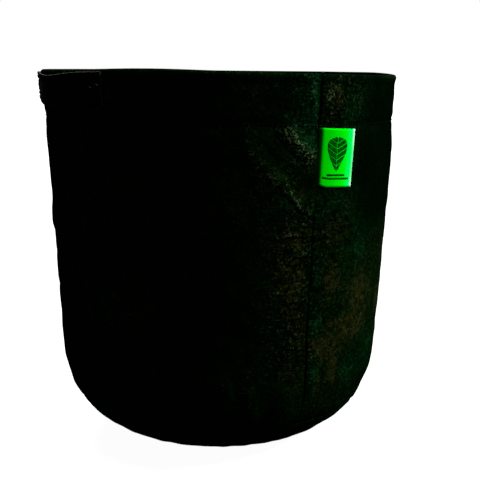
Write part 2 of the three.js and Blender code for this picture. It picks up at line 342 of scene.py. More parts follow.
def folds(along, down):
    """How far the folds lift the felt, and how strongly their crests are painted with a highlight, from
    0 to 1.
    """
    shape = np.broadcast_shapes(along.shape, down.shape)
    total, crest_highlight = np.zeros(shape), np.zeros(shape)
    for start, end, reach, height, crest_light in FOLDS:
        start, end, reach = np.array(start) * MM, np.array(end) * MM, reach * MM
        length = np.linalg.norm(end - start)
        ahead = (end - start) / length
        across = short_way(along - start[0])
        far = across * ahead[0] + (down - start[1]) * ahead[1]
        aside = across * -ahead[1] + (down - start[1]) * ahead[0]
        within = ease(far, -0.25 * length, 0.2 * length) * fade(far, 0.8 * length, 1.15 * length)
        ridge = bump(aside, reach) - 0.3 * bump(aside - 2 * reach, reach)
        total += height * MM * ridge * within
        crest_highlight = np.maximum(crest_highlight, crest_light * bump(aside, 1.1 * reach) * within)
    return total, crest_highlight


def along_of(angle):
    """Distance along the rim from the side seam, from minus half way round to plus half."""
    return short_way(angle * RIM_RADIUS)


def broad_push(angle, down):
    """The broad part of how far the felt stands out from its plain shape."""
    below_hem = ease(down, HEM_STITCH, HEM_STITCH + 22 * MM)
    above_base = fade(down, SEAM_DOWN - 30 * MM, SEAM_DOWN)
    total = OVAL * out_of_round(angle, down) * above_base
    lean = BELLY_LEAN * bump(down - BELLY_DOWN, BELLY_REACH) + CUFF_LEAN * bump(down, CUFF_REACH)
    total = total + lean * np.cos(angle - BELLY_ANGLE)
    total = total + BILLOW * billow(angle, down) * (0.35 + 0.65 * below_hem) * above_base
    total = total - CUFF_PINCH * ease(down, 2 * MM, 10 * MM) * fade(down, HEM_STITCH, 62 * MM)
    return total + CUFF_SWELL * bump(down - 0.5 * HEM_STITCH, SWELL_REACH)


def push(angle, down):
    """How far the felt stands out from its plain shape."""
    along, from_hem = along_of(angle), down - HEM_STITCH
    total = broad_push(angle, down) + DIMPLE * dimples(angle, down)
    dent = HEM_DENT + DENT_VARIES * hem_pucker(angle, down * 0)
    total = total - dent * bump(from_hem, DENT_REACH)
    total = total + HEM_PUCKER * hem_pucker(angle, down) * bump(from_hem, HEM_PUCKER_REACH)
    total = total + GATHER * gather(angle, down) * bump(down - SEAM_DOWN, GATHER_REACH)
    total = total + seam_puckers(along, down) + folds(along, down)[0]
    dip = SEAM_DIP * bump(along, SEAM_DIP_REACH) * fade(down, SEAM_DOWN - 20 * MM, SEAM_DOWN)
    return (total - dip) * fade(down, FLAT_START - 33 * MM, FLAT_START)


def lift(angle, down):
    """How far the felt stands above its plain shape: the rim isn't quite level."""
    turn, rise = np.radians([a for a, _ in RIM_HEIGHTS]), np.array([h for _, h in RIM_HEIGHTS]) * MM
    here = np.mod(angle + math.pi, TAU) - math.pi
    near = np.interp(here, turn, rise)
    around = [np.interp(np.mod(here + d + math.pi, TAU) - math.pi, turn, rise) for d in RIM_EASING]
    smooth = (near + sum(around)) / (1 + len(around))
    radius = np.maximum(FLAT_START + FLAT_RADIUS - down, 0)
    waves = sum(np.cos(k * radius * np.sin(angle + turned) + turned) for k, turned in BASE_WAVES)
    uneven = BASE_UNEVEN * (1 + waves / len(BASE_WAVES)) * fade(radius, 0.5 * FLAT_RADIUS, FLAT_RADIUS)
    return smooth * fade(down, 0, 0.7 * WALL_LENGTH) + uneven


def seam_groove(angle, down):
    """The sharp groove of the side seam, in the outer face alone."""
    along = np.abs(along_of(angle))
    cuff = fade(down, HEM_STITCH - 2 * MM, HEM_STITCH + 3 * MM)
    mid, low = ease(down, 90 * MM, 130 * MM), ease(down, 150 * MM, 230 * MM)
    depth = (0.2 + 1.9 * cuff + 0.4 * mid + 0.5 * low) * MM
    reach = (0.33 + 0.47 * cuff + 0.25 * low) * MM
    return -depth * np.exp(-((along / reach) ** 1.6))


# ---- The felt ----

# Patches of the felt in another colour: along, down, their reach each way and their strength. In the
# dusty and teal ones its mixed fibres show; the dark ones simply make the felt darker there.
DUSTY = [
    (14, 16, 10, 14, 0.85), (38, 20, 12, 12, 0.4), (-18, 124, 18, 20, 0.8), (-17, 158, 15, 34, 0.9),
    (-8, 196, 10, 20, 0.7), (23, 118, 14, 12, 0.7), (20, 156, 13, 15, 1.0), (60, 176, 24, 20, 1.0),
    (48, 197, 28, 15, 1.15), (120, 140, 20, 15, 1.2), (112, 186, 17, 14, 0.95), (20, 211, 17, 12, 1.4),
    (31, 232, 7, 18, 1.1), (13, 244, 6, 12, 0.6), (-13, 232, 13, 12, 0.6), (-12, 88, 12, 9, 0.5),
    (130, 150, 12, 80, 1.1),
]
TEAL = [
    (-8, 18, 9, 24, 1.1), (-14, 50, 13, 12, 1.0), (14, 98, 18, 14, 0.5), (52, 132, 16, 18, 0.6),
    (8, 150, 7, 14, 0.7), (-30, 36, 12, 10, 0.6), (38, 22, 16, 18, 0.6), (-26, 96, 14, 9, 0.7),
    (30, 30, 14, 10, 0.5), (10, 192, 9, 13, 0.8), (72, 206, 12, 9, 0.5), (8, 236, 7, 18, 0.8),
    (52, 236, 18, 12, 0.7), (92, 222, 14, 12, 0.6),
]
DARK = [
    (68, 24, 22, 28, 1.3), (108, 45, 40, 46, 2.2), (-34, 16, 12, 12, 0.8), (-32, 104, 12, 10, 0.7),
    (86, 92, 36, 26, 2.0), (58, 68, 20, 30, 1.8), (-6, 82, 8, 12, 0.8), (-52, 150, 18, 60, 0.6),
    (82, 252, 24, 10, 0.7), (-3, 170, 3, 40, 0.5), (-40, 60, 14, 30, 0.5), (172, 34, 60, 44, 1.3),
    (158, 92, 56, 40, 0.9), (262, 44, 70, 50, 0.8), (120, 118, 44, 26, 0.7),
]
OTHER_PATCHES = 46  # on the rest of the wall, at random
SHADY_FROM, SHADY_TO, SHADY_DARK = 140 * MM, 230 * MM, 0.35  # the side that has faded least
INSIDE_SHADE = (0.85, 0.45)  # painted shade on the inner faces, just below the rim and further down


def soft_patch(aside, below, reach_along, reach_down, strength):
    """A patch's amount, by the distances from its middle."""
    return strength * np.exp(-((aside / reach_along) ** 2 + (below / reach_down) ** 2))


def patch_amounts(angle, down):
    """How dusty, teal and dark the felt is, from 0 to 1 each."""
    along = along_of(angle)
    rng = np.random.default_rng(31)
    amounts = []
    for kind in (DUSTY, TEAL, DARK):
        total = np.zeros(np.broadcast_shapes(along.shape, down.shape))
        for here, below, *reach, strength in np.array(kind) * [MM, MM, MM, MM, 1]:
            total = np.maximum(total, soft_patch(along - here, down - below, *reach, strength))
        for _ in range(OTHER_PATCHES // 3):
            here, below = rng.uniform(150 * MM, 800 * MM), rng.uniform(10 * MM, 300 * MM)
            reach, strength = rng.uniform(14 * MM, 36 * MM, 2), rng.uniform(0.4, 0.75)
            aside = short_way(along - here)
            total = np.maximum(total, soft_patch(aside, down - below, *reach, strength))
        amounts.append(total)
    amounts[2] = np.maximum(amounts[2], SHADY_DARK * ease(np.abs(along), SHADY_FROM, SHADY_TO))
    return amounts


# Where the felt is finely crumpled: along, reach, then down where it starts and where it
# ends, and how strongly.
CRUMPLED = [(-18, 19, 82, 240, 1.0), (14, 16, 95, 190, 0.4), (12, 38, -30, 52, 0.55)]


def crumple_amount(along, down):
    """How finely crumpled the felt is, from 0 to 1: most beside the side seam."""
    total = np.abs(folds(along, down)[0]) / (1.3 * MM)
    for here, reach, start, end, strength in np.array(CRUMPLED) * [MM, MM, MM, MM, 1]:
        within = ease(down, start, start + 30 * MM) * fade(down, end - 30 * MM, end)
        total = total + strength * bump(along - here, reach) * within
    shady = ease(np.abs(along), SHADY_FROM, SHADY_TO)
    total = total + shady * (0.3 + 0.35 * np.maximum(billow(along / RIM_RADIUS, down), 0))
    return np.clip(total, 0, 1)


def keep_values(piece, name, values):
    """Keep one number for each vertex on the mesh, for the material to read."""
    layer = piece.data.attributes.new(name, "FLOAT", "POINT")
    layer.data.foreach_set("value", values.ravel())


def paint_felt(piece, angle, down, inside):
    """Keep each vertex's patches, crumpling and painted fold highlight on the mesh, for its material.
    Inside, from 0 to 1, is for the inner faces: they get no patches, and a painted shade that is darkest
    just below the rim."""
    angle, down, inside = np.broadcast_arrays(angle, down, inside)
    dusty, teal, dark = patch_amounts(angle, down)
    shown = 1 - inside
    inside_shade = np.interp(down, [10 * MM, 70 * MM], INSIDE_SHADE)
    # the dark channel carries the dark patches outside and the painted shade on the inner faces
    dark = np.maximum(dark * shown, inside_shade * inside)
    colours = np.stack([dusty * shown, teal * shown, dark, np.ones(dark.shape)], -1)
    layer = piece.data.attributes.new("patches", "FLOAT_COLOR", "POINT")
    layer.data.foreach_set("color", colours.ravel())
    along = along_of(angle)
    keep_values(piece, "crumple", crumple_amount(along, down) * shown)
    # how strongly each fold's crest is painted with a highlight
    keep_values(piece, "crest_highlight", folds(along, down)[1] * shown)


def set_uv(piece, uv, round_trip=None):
    """Give each vertex a place in a flat pattern, in metres. Where the pattern closes on
    itself, round_trip is its length, and a face that crosses the join is kept whole."""
    layer = piece.data.uv_layers.new(name="pattern")
    index = np.empty(len(piece.data.loops), int)
    piece.data.loops.foreach_get("vertex_index", index)
    places = uv.reshape(-1, 2)[index]
    if round_trip:
        first = np.repeat([face.loop_start for face in piece.data.polygons],
                          [face.loop_total for face in piece.data.polygons])
        jump = places[:, 0] - places[first, 0]
        places[:, 0] -= np.round(jump / round_trip) * round_trip
    layer.data.foreach_set("uv", places.ravel())


SEAM_STEP, NEAR_STEP, FAR_STEP = 0.4, 1.5, 2.6  # mm between columns, and what is added further off


def wall_angles():
    """Angles round the bag, closer together at the side seam."""
    steps, here = [0.0], 0.0
    half = math.pi * RIM_RADIUS
    while here < half:
        near, far = ease(here, 2 * MM, 20 * MM), ease(here, 60 * MM, 200 * MM)
        here += (SEAM_STEP + NEAR_STEP * float(near) + FAR_STEP * float(far)) * MM
        steps.append(here)
    right = np.array(steps) * half / steps[-1]
    return np.concatenate([right[:-1], -right[:0:-1]]) / RIM_RADIUS


def run_of(points):
    """The distance along a line of points to each of them."""
    return np.concatenate([[0], np.cumsum(np.linalg.norm(np.diff(points, axis=0), axis=1))])


def between(where, run, values):
    """The values at these distances along a line, from those at its points."""
    return np.stack([np.interp(where, run, column) for column in values.T], -1)


def measured(path, spacing):
    """Points picked along a fine path, at distances that spacing(point) sets."""
    run, picked = run_of(path), [0.0]
    while picked[-1] < run[-1]:
        picked.append(picked[-1] + spacing(between(picked[-1], run, path)))
    picked[-1] = run[-1]
    return between(picked, run, path)


def line(start, end, count=200):
    return np.linspace(start, end, count)


def arc(centre, radius, start, end, count=60):
    turn = np.linspace(start, end, count)
    return np.stack([centre[0] + radius * np.cos(turn), centre[1] + radius * np.sin(turn)], 1)


TURN = 1.3 * MM  # radius of the felt's middle where it turns in at a seam
TURN_STEP, EDGE_STEP = 0.45 * MM, 2.5 * MM  # between rows round that turn, and past it
SEAM_SHIFT = 1.9 * MM  # from the base seam to the middle of each turned-in layer
half_felt = FELT / 2
fold_middle = FELT + HEM_GAP / 2
fold_radius = fold_middle - half_felt


def wall_path():
    """The middle of the wall's felt, in down and depth, from the hem's raw edge to the
    turned-in edge at the base seam."""
    inner = 2 * fold_middle - half_felt
    turned_in = SEAM_DOWN - SEAM_SHIFT
    return np.concatenate([
        line((HEM_DEPTH, inner), (fold_middle, inner)),
        arc((fold_middle, fold_middle), fold_radius, math.pi / 2, 1.5 * math.pi)[1:],
        line((fold_middle, half_felt), (turned_in - TURN, half_felt), 900)[1:],
        arc((turned_in - TURN, half_felt + TURN), TURN, -math.pi / 2, 0)[1:],
        line((turned_in, half_felt + TURN), (turned_in, half_felt + ALLOWANCE))[1:],
    ])


def wall_spacing(at):
    """From one row of the wall to the next: closer at the rim, the hem's stitches and the turn."""
    down, depth = at
    if depth > half_felt + 0.1 * MM and down > WALL_LENGTH:
        return TURN_STEP if depth < 2 * FELT else EDGE_STEP
    if depth > fold_middle:
        return 3.0 * MM if down > 2 * fold_middle else 0.6 * MM
    if down < 2 * fold_middle:
        return 0.6 * MM
    if abs(down - HEM_STITCH) < 5 * MM:
        return 1.1 * MM
    if down > SEAM_DOWN - 6 * MM:
        return 0.7 * MM
    return (1.35 if down > HEM_STITCH else 2) * MM


# How far the side seam wanders towards +X on its way down: where (down) and how far.
SEAM_WANDER = np.array([
    (0, 0), (60, 0), (95, -0.9), (125, -1.8), (190, -2.0), (215, -1.0), (232, 0.4), (258, 2.6), (290, 3),
]) * MM
WANDER_REACH = 70 * MM


def wander(down):
    return np.interp(down, *SEAM_WANDER.T)


def twist(angle, down):
    """The turn that takes the felt near the side seam along with it as it wanders."""
    return wander(down) * bump(along_of(angle), WANDER_REACH) / RIM_RADIUS


def felt_layers(path, angles, groove):
    """The two faces of a sheet of felt whose middle follows a path in down and depth."""
    down, depth = path[:, :1], path[:, 1:2]
    turned = angles + twist(angles, down)
    radius, height, out_r, out_z = section(down, depth)
    ahead_r = np.gradient(radius[:, 0])[:, None]
    ahead_z = np.gradient(height[:, 0])[:, None]
    length = np.hypot(ahead_r, ahead_z)
    side_r, side_z = -ahead_z / length, ahead_r / length
    moved = push(angles[None, :], down)
    raised = lift(angles[None, :], down)
    faces = []
    for side in (1, -1):
        extra = groove(angles[None, :], down) if side == 1 else 0
        r = radius + side * half_felt * side_r + (moved + extra) * out_r
        z = height + side * half_felt * side_z + (moved + extra) * out_z + raised
        faces.append(point(turned, r, z))
    return faces


def shell(name, front, back, material):
    """A closed ring of felt from its two faces, which share their columns."""
    rows = np.concatenate([front, back[::-1]])
    count, columns = rows.shape[:2]
    return add_mesh(name, rows, strip_faces(count, columns, wrap_rows=True), material)


def add_wall():
    angles = wall_angles()
    path = measured(wall_path(), wall_spacing)
    front, back = felt_layers(path, angles, seam_groove)
    keep = np.append(np.arange(0, len(path) - 1, 3), len(path) - 1)  # the inner face has fewer rows
    wall = shell("wall_felt", front, back[keep], felt)
    down = np.concatenate([path[:, :1], path[keep][::-1, :1]])
    inside = ease(path[:, 1:], half_felt + 0.3 * MM, fold_middle + 0.4 * fold_radius)
    inside = np.concatenate([inside * (path[:, :1] < SEAM_DOWN / 2), np.ones((len(keep), 1))])
    paint_felt(wall, angles[None, :], down, inside)
    set_uv(wall, np.stack(np.broadcast_arrays(angles * RIM_RADIUS, down), -1), TAU * RIM_RADIUS)
    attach(wall, "bag")
    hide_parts("wall_panel")
    return wall


BASE_COLUMNS = 240
BASE_HOLE = 1.5 * MM  # half the width of the flat facet in the middle of the base


def base_path():
    """The middle of the base's felt, from its turned-in edge to the middle of the base."""
    turned_in = SEAM_DOWN + SEAM_SHIFT
    middle = FLAT_START + FLAT_RADIUS - BASE_HOLE
    return np.concatenate([
        line((turned_in, half_felt + ALLOWANCE), (turned_in, half_felt + TURN)),
        arc((turned_in + TURN, half_felt + TURN), TURN, math.pi, 1.5 * math.pi)[1:],
        line((turned_in + TURN, half_felt), (middle, half_felt), 900)[1:],
    ])


def base_spacing(at):
    """From one row of the base to the next."""
    down, depth = at
    if depth > half_felt + 0.1 * MM:
        return TURN_STEP if depth < 2 * FELT else EDGE_STEP
    if down < SEAM_DOWN + 8 * MM:
        return 0.7 * MM
    return 2.6 * MM


def no_groove(angle, down):
    return 0 * angle


def add_base():
    angles = np.arange(BASE_COLUMNS) * TAU / BASE_COLUMNS
    path = measured(base_path(), base_spacing)
    front, back = felt_layers(path, angles, no_groove)
    base = add_tube("base_felt", np.concatenate([front[::-1], back]), felt)
    down = np.concatenate([path[::-1, :1], path[:, :1]])
    inside = np.repeat([0.0, 1.0], len(path))[:, None]
    paint_felt(base, angles[None, :], down, inside)
    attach(base, "bag")
    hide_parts("base_disc")
    return base


SEAM_GAP = 0.2 * MM  # from the middle of the side seam to each turned-in edge
EDGE_ROOT = 0.5 * MM  # how far an edge reaches into the wall


def add_seam_edge(side):
    """One of the wall's two upright edges, turned in at the side seam."""
    down = np.arange(HEM_DEPTH + 4 * MM, SEAM_DOWN - SEAM_SHIFT - 1.5 * FELT, 2.2 * MM)[:, None]
    depth = FELT - EDGE_ROOT + (ALLOWANCE + EDGE_ROOT) * np.linspace(0, 1, 7)
    away = (depth - FELT) / ALLOWANCE
    sway = 1.6 * MM * away**2 * np.sin(down / (17 * MM)) + 0.8 * MM * away * np.sin(down / (6.5 * MM))
    radius, height, out_r, out_z = section(down, depth)
    moved = push(0 * down, down)
    radius, height = radius + moved * out_r, height + moved * out_z
    near, far = (
        np.stack([side * thickness + sway + wander(down), -radius, height], -1)
        for thickness in (SEAM_GAP, SEAM_GAP + FELT)
    )
    loop = np.concatenate([near, far[:, ::-1]], 1)
    edge = add_tube("seam_edge_right" if side > 0 else "seam_edge_left", loop, felt)
    # the turned-in seam edges are inner faces, with most of the inside's painted shade
    paint_felt(edge, 0 * down, down + 0 * np.arange(loop.shape[1]), 0.8)
    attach(edge, "bag")
    return edge


# ---- Webbing handles ----

WEBBING_WIDTH = 25 * MM
WEBBING_THICKNESS = 1.9 * MM
WEBBING_DROP = 1.6 * MM
WEBBING_OFF = 0.45 * MM  # from the wall to the webbing
HANDLE_HALF_ANGLE = math.radians(25)
TAB_ANGLE = 22 * MM / RIM_RADIUS
SLACK = 2.3 * MM  # how far the middle of a handle stands off the wall
SAG = 2.3 * MM  # how far it hangs down there
SEALED_WIDTH = 0.7 * MM
SEALED_LUMPS = 40  # along a melted end, which stops short of the selvedges
SEALED_MARGIN = 0.3 * MM


def webbing_at(side, turn, across, out):
    """A point of a handle: turn is counted from its middle, across from its upper edge and
    out from its inner face."""
    angle = side * (math.pi / 2) - side * turn
    free = HANDLE_HALF_ANGLE - TAB_ANGLE
    loose = np.cos(np.clip(turn / free, -1, 1) * math.pi / 2) ** 2
    down = WEBBING_DROP + across + SAG * loose
    radius, height, out_r, out_z = section(down, 0)
    off = WEBBING_OFF + SLACK * loose + out + broad_push(angle, down)
    return point(angle, radius + off * out_r, height + off * out_z + lift(angle, down))


def webbing_outward(side, turn, across):
    return unit(webbing_at(side, turn, across, WEBBING_THICKNESS) - webbing_at(side, turn, across, 0))


def webbing_section():
    """The outline across the webbing: across and out, with rounded selvedges."""
    half = WEBBING_THICKNESS / 2
    turn = np.linspace(-math.pi / 2, math.pi / 2, 6)
    face = np.linspace(half, WEBBING_WIDTH - half, 14)
    round_in, round_out = half * np.cos(turn), half - half * np.sin(turn)
    lower = np.stack([WEBBING_WIDTH - half + round_in, round_out], 1)[::-1]
    upper = np.stack([half - round_in, round_out], 1)
    outer = np.stack([face[::-1], 0 * face + WEBBING_THICKNESS], 1)[1:-1]
    inner = np.stack([face, 0 * face], 1)[1:-1]
    return np.concatenate([inner, lower, outer, upper])


def add_sealed_end(side, end, name):
    """The melted bead along one cut end of a handle."""
    lumps = np.random.default_rng(41).uniform(0.7, 1.25, SEALED_LUMPS)[:, None]
    across = np.linspace(SEALED_MARGIN, WEBBING_WIDTH - SEALED_MARGIN, SEALED_LUMPS)[:, None]
    ring = np.arange(8) * TAU / 8
    turn = end * (HANDLE_HALF_ANGLE + SEALED_WIDTH * lumps * np.cos(ring) / RIM_RADIUS)
    out = WEBBING_THICKNESS / 2 * (1 + lumps * np.sin(ring))
    bead = add_tube(name, webbing_at(side, turn, across, out), sealed)
    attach(bead, "bag")


def add_handle(side, name):
    turns = np.linspace(-HANDLE_HALF_ANGLE, HANDLE_HALF_ANGLE, 150)[:, None]
    across, out = webbing_section().T
    strap = add_tube(name + "_strap", webbing_at(side, turns, across, out), webbing)
    set_uv(strap, np.stack(np.broadcast_arrays(turns * RIM_RADIUS, across), -1))
    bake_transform(strap)
    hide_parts(name + "_span", name + "_tab_front", name + "_tab_rear")
    for end, place in ((1, "front"), (-1, "rear")):
        add_sealed_end(side, end, f"{name}_sealed_end_{place}")


# ---- Stitches ----

THREAD_RADIUS = 0.42 * MM
FELT_STITCH, BOX_STITCH = 3.6 * MM, 3.1 * MM  # the length of one stitch
STITCH_ARCH, STITCH_DIVE = 0.25 * MM, 0.55 * MM  # how far its middle rises and its ends go in


def add_stitches(name, points, outward, pitch, node):
    """A row of lockstitches along a line of points. Each is a short arched length of thread
    whose ends go down into the cloth."""
    run = run_of(points)
    count = max(1, round(run[-1] / pitch))
    t = np.linspace(0.06, 0.94, 7)
    place = (np.arange(count)[:, None] + t) * run[-1] / count
    centre, out = between(place, run, points), between(place, run, outward)
    aside = np.cross(unit(np.gradient(centre, axis=1)), out)
    arch = np.sin(math.pi * np.linspace(0, 1, len(t)))[:, None]
    centre = centre + out * (STITCH_ARCH * arch - STITCH_DIVE * (1 - arch) ** 3)
    thick = THREAD_RADIUS * (0.55 + 0.45 * np.sqrt(np.sin(math.pi * t)))
    loops = thread_loops(centre, aside, out, thick)
    one, size = tube_faces(len(t), THREAD_SIDES), len(t) * THREAD_SIDES
    faces = [[i * size + v for v in face] for i in range(count) for face in one]
    piece = add_mesh(name, loops, faces, thread)
    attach(piece, "bag")
    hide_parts(node)
    return piece


def wall_line(angle, down, depth):
    """Points on a face of the wall, with their outward direction."""
    angle, down = np.broadcast_arrays(np.asarray(angle, float), np.asarray(down, float))
    radius, height, out_r, out_z = section(down, depth)
    moved = push(angle, down)
    points = point(angle, radius + moved * out_r, height + moved * out_z + lift(angle, down))
    return points, point(angle, out_r, out_z)


PALE_STITCHES, PALE_REACH = -22 * MM, 26 * MM  # where dust shows the hem's outer stitches


def add_hem_stitches():
    angle = np.linspace(0, TAU, 1500)
    points, out = wall_line(angle, HEM_STITCH, 0)
    outer = add_stitches("hem_stitches_outer", points, out, FELT_STITCH, "hem_thread_outer")
    place = np.array([vertex.co for vertex in outer.data.vertices])
    along = along_of(np.arctan2(place[:, 0], -place[:, 1]))
    keep_values(outer, "pale", bump(along - PALE_STITCHES, PALE_REACH))
    points, out = wall_line(angle, HEM_STITCH, 2 * FELT + HEM_GAP)
    add_stitches("hem_stitches_inner", points, -out, FELT_STITCH, "hem_thread_inner")


BASE_STITCH_DEPTH, SIDE_STITCH_DEPTH = 7 * MM, FELT + 4.2 * MM  # in from the wall's outer face


def add_seam_stitches():
    down = np.linspace(HEM_DEPTH + 5 * MM, SEAM_DOWN - 8 * MM, 400)
    centre, _ = wall_line(0 * down, down, SIDE_STITCH_DEPTH)
    for side, name in ((-1, "left"), (1, "right")):
        points = centre.copy()
        points[:, 0] += side * (FELT + SEAM_GAP) + wander(down)
        facing = np.broadcast_to([side, 0.0, 0.0], centre.shape)
        node = "side_seam_thread_" + name
        add_stitches("side_seam_stitches_" + name, points, facing, FELT_STITCH, node)
    angle = np.linspace(0.05, TAU - 0.05, 1200)
    for side, name in ((-1, "lower"), (1, "upper")):
        down_here = SEAM_DOWN - side * (SEAM_SHIFT + half_felt)
        radius, height, out_r, out_z = section(down_here, BASE_STITCH_DEPTH)
        points, facing = point(angle, radius, height), point(angle, side * out_z, side * out_r)
        node = "base_seam_thread_" + name
        add_stitches("base_seam_stitches_" + name, points, facing, FELT_STITCH, node)


BOX_INSET = 3.2 * MM  # from the webbing's edges and end to its box of stitches


def add_box_stitches(side, end, name):
    """The box of stitches that holds one end of a handle, with a row along its middle."""
    outer = HANDLE_HALF_ANGLE - BOX_INSET / RIM_RADIUS
    inner = HANDLE_HALF_ANGLE - TAB_ANGLE + BOX_INSET / RIM_RADIUS
    top, bottom, middle = BOX_INSET, WEBBING_WIDTH - BOX_INSET, WEBBING_WIDTH / 2
    corners = [
        (inner, middle), (outer, middle), (outer, top), (inner, top), (inner, bottom), (outer, bottom),
        (outer, middle),
    ]
    path = np.concatenate([line(a, b, 40) for a, b in zip(corners, corners[1:])])
    turn, across = end * path[:, 0], path[:, 1]
    points = webbing_at(side, turn, across, WEBBING_THICKNESS)
    outward = webbing_outward(side, turn, across)
    add_stitches(name.replace("stitch", "stitches"), points, outward, BOX_STITCH, name)
    add_thread_tail(side, end, name.replace("box_stitch", "thread_tail"))


TAIL_IN, TAIL_LENGTH, TAIL_WAVE = 1.2, 9.5, 0.5  # mm: in from the handle's end, back, and its wave
TAIL_ABOVE, TAIL_SWAY = 2.2 * MM, 1.3 * MM  # from the webbing's middle, across it
TAIL_RADIUS, KNOT = 0.3 * MM, 1.1  # how much thicker the knot is


def add_thread_tail(side, end, name):
    """The cut end of the sewing thread, knotted back on itself at the handle's end."""
    t = np.linspace(0, 1, 26)
    back = TAIL_IN + TAIL_LENGTH * (1 - t) + TAIL_WAVE * np.sin(9 * t)
    turn = end * (HANDLE_HALF_ANGLE - back * MM / RIM_RADIUS)
    across = WEBBING_WIDTH / 2 - TAIL_ABOVE + TAIL_SWAY * np.sin(6.5 * t)
    out = WEBBING_THICKNESS + (0.25 + 0.5 * np.sin(math.pi * t)) * MM
    centre = webbing_at(side, turn, across, out)
    outward = webbing_outward(side, turn, across)
    aside = np.cross(unit(np.gradient(centre, axis=0)), outward)
    radius = TAIL_RADIUS * (1 + KNOT * bump(t - 0.93, 0.06))
    tail = add_tube(name, thread_loops(centre, aside, outward, radius), pale_glint_thread)
    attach(tail, "bag")


# ---- Label ----

LABEL_WIDTH = 33.2 * MM
LABEL_HEIGHT = 44 * MM
LABEL_TOP = 40 * MM
LABEL_START = 0.6 * MM  # where the ribbon comes out of the seam
LABEL_SHIFT = -1.1 * MM  # from its own measure to the felt's
LABEL_DIVE = 1.6 * MM  # how far its start dips into the seam
LABEL_PULL = 1.8 * MM  # how far the seam draws up the label's lower corner
LABEL_SLOPE = 0.045  # how far it falls away from the seam, for each step out
LABEL_OFF = 0.9 * MM  # from the felt, at the seam
RIBBON = 0.32 * MM
LABEL_FOLD = 0.3 * MM  # radius of the ribbon's middle at the fold


def label_at(along, down, out):
    """A point of the label: along from the seam, down from its upper edge and out from the
    middle between its two layers."""
    share = along / LABEL_WIDTH
    lean_out = LABEL_OFF + (share**2 + 0.4 * np.sin(2.2 * share)) * MM
    curl = 0.4 * MM * share * np.cos(math.pi * down / LABEL_HEIGHT)
    dive = LABEL_DIVE * bump(along - LABEL_START, 1.3 * MM)
    pulled_up = LABEL_PULL * fade(along, 0, 10 * MM) * down / LABEL_HEIGHT
    fall = LABEL_TOP + down + LABEL_SLOPE * along - pulled_up
    angle = (along + LABEL_SHIFT) / (RIM_RADIUS - fall * math.sin(LEAN))
    radius, height, out_r, out_z = section(fall, 0)
    off = lean_out + curl + out - dive
    return point(angle, radius + off * out_r, height + off * out_z)


def ribbon_path():
    """The middle of the ribbon, in along and out: in at the seam, out to the fold and back."""
    front = line((LABEL_START, LABEL_FOLD), (LABEL_WIDTH - LABEL_FOLD, LABEL_FOLD), 40)
    fold = arc((LABEL_WIDTH - LABEL_FOLD, 0), LABEL_FOLD, math.pi / 2, -math.pi / 2, 9)
    return np.concatenate([front[:-1], fold, line(front[-1] * [1, -1], front[0] * [1, -1], 40)[1:]])


def ride_label(piece):
    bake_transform(piece)


def add_label():
    path = ribbon_path()
    step = unit(np.gradient(path, axis=0))
    half = np.stack([-step[:, 1], step[:, 0]], 1) * RIBBON / 2
    down = np.linspace(0, LABEL_HEIGHT, 30)[:, None]
    outer, inner = (label_at(edge[:, 0], down, edge[:, 1]) for edge in (path + half, path - half))
    label = add_tube("label_ribbon", np.concatenate([outer, inner[:, ::-1]], 1), label_cloth)
    along = np.concatenate([path[:, 0], path[::-1, 0]])
    set_uv(label, np.stack(np.broadcast_arrays(along, down), -1))
    ride_label(label)
    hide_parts("label_flap", "label_tail")
    return label


PRINT_OFF = LABEL_FOLD + RIBBON / 2 + 0.05 * MM
PRINT_THICK = 0.08 * MM


def add_print(name, inner, outer, down, rise=0.0):
    """A printed patch that lies on the label, from its inner to its outer edge."""
    share = np.linspace(0, 1, 9)
    along = inner[:, None] + (outer - inner)[:, None] * share
    down = down[:, None] - rise * np.abs(along - inner[:, None])
    top = label_at(along, down, PRINT_OFF + PRINT_THICK)
    bottom = label_at(along, down, PRINT_OFF)
    patch = add_tube(name, np.concatenate([top, bottom[:, ::-1]], 1), label_print)
    ride_label(patch)


LEAF_MIDDLE, LEAF_TOP, LEAF_LENGTH, LEAF_WIDTH = 17 * MM, 6.8 * MM, 25 * MM, 9 * MM
LEAF_BANDS = 6  # between its slanting veins
VEIN_RISE = 0.55  # how far a vein rises for each step out from the midrib
VEIN = 0.55 * MM
BARS = ((34 * MM, 8.5 * MM), (36.6 * MM, 12.5 * MM))  # each bar's place down the label and half width
BAR = 1.4 * MM


def add_leaf():
    """A plain upright leaf, its midrib and veins left open, and two bars below it."""
    for side, name in ((-1, "left"), (1, "right")):
        for band in range(LEAF_BANDS):
            t = (band + np.linspace(0, 1 - VEIN * LEAF_BANDS / LEAF_LENGTH, 7)) / LEAF_BANDS
            reach = LEAF_WIDTH * np.sin(math.pi * np.clip(t, 0.03, 0.99) ** 0.85) ** 0.9
            inner, outer = LEAF_MIDDLE + side * VEIN / 2 + 0 * t, LEAF_MIDDLE + side * (VEIN / 2 + reach)
            rows = LEAF_TOP + LEAF_LENGTH * t
            add_print(f"leaf_{name}_{band + 1}", inner, outer, rows, VEIN_RISE)
    for i, (down, reach) in enumerate(BARS):
        ends = np.full(2, LEAF_MIDDLE - reach), np.full(2, LEAF_MIDDLE + reach)
        add_print(f"bar_{i + 1}", *ends, down + np.array([0, BAR]))


# ---- Materials ----


